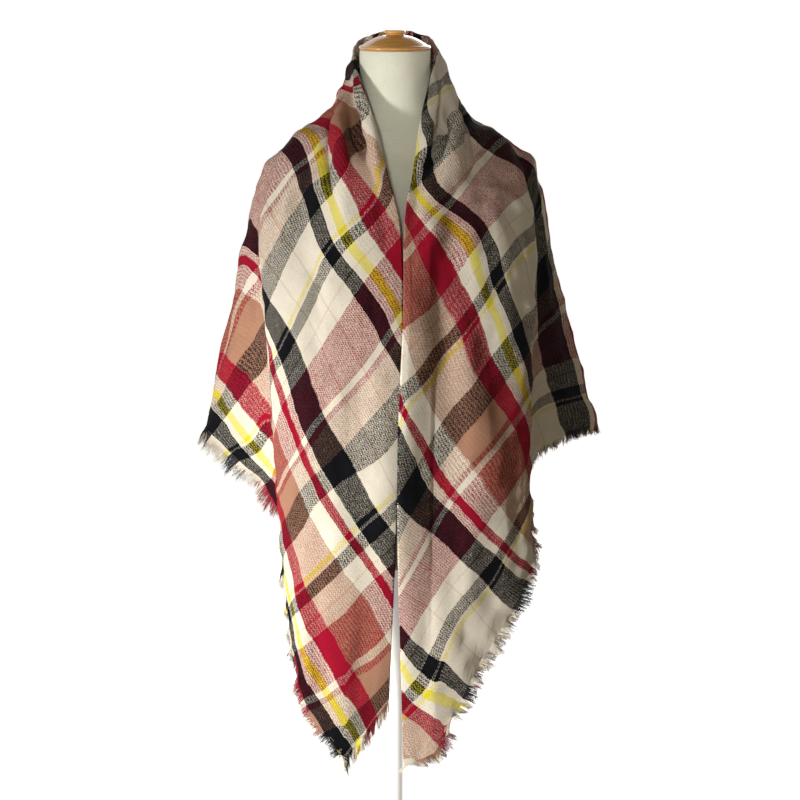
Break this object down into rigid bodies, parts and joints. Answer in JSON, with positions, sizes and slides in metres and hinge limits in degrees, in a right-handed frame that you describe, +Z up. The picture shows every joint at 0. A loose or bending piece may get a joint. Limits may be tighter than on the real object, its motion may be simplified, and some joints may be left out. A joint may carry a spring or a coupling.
{
  "type": "blanket scarf on a dress form",
  "caption": "Large square plaid scarf with fringed edges, folded on its diagonal and worn as a shawl on a linen dress form with a wooden neck cap.",
  "frame": {"origin": "on the floor under the stand's pole, at the centre of the base's flat underside", "axes": "+Z up along the pole, the form faces -Y, +X to the viewer's right"},
  "size_m": [0.5518, 0.3151, 1.5],
  "materials": {
    "plaid_cloth": "brushed twill, plaid in cream, tan, crimson, black and yellow",
    "fringe_yarn": "loose yarn ends, in the plaid's colours",
    "form_linen": "fine cream linen, stretched smooth",
    "honey_wood": "lacquered honey-coloured wood",
    "white_paint": "satin off-white paint"
  },
  "bodies": {
    "root": {"scarf_cloth": "plaid_cloth", "fringe_left_tip": "fringe_yarn", "fringe_left": "fringe_yarn", "fringe_right": "fringe_yarn", "fringe_right_tip": "fringe_yarn", "form_torso": "form_linen", "form_cap": "honey_wood", "form_knob": "honey_wood", "stand_pole": "white_paint", "stand_base": "white_paint"}
  },
  "joints": []
}
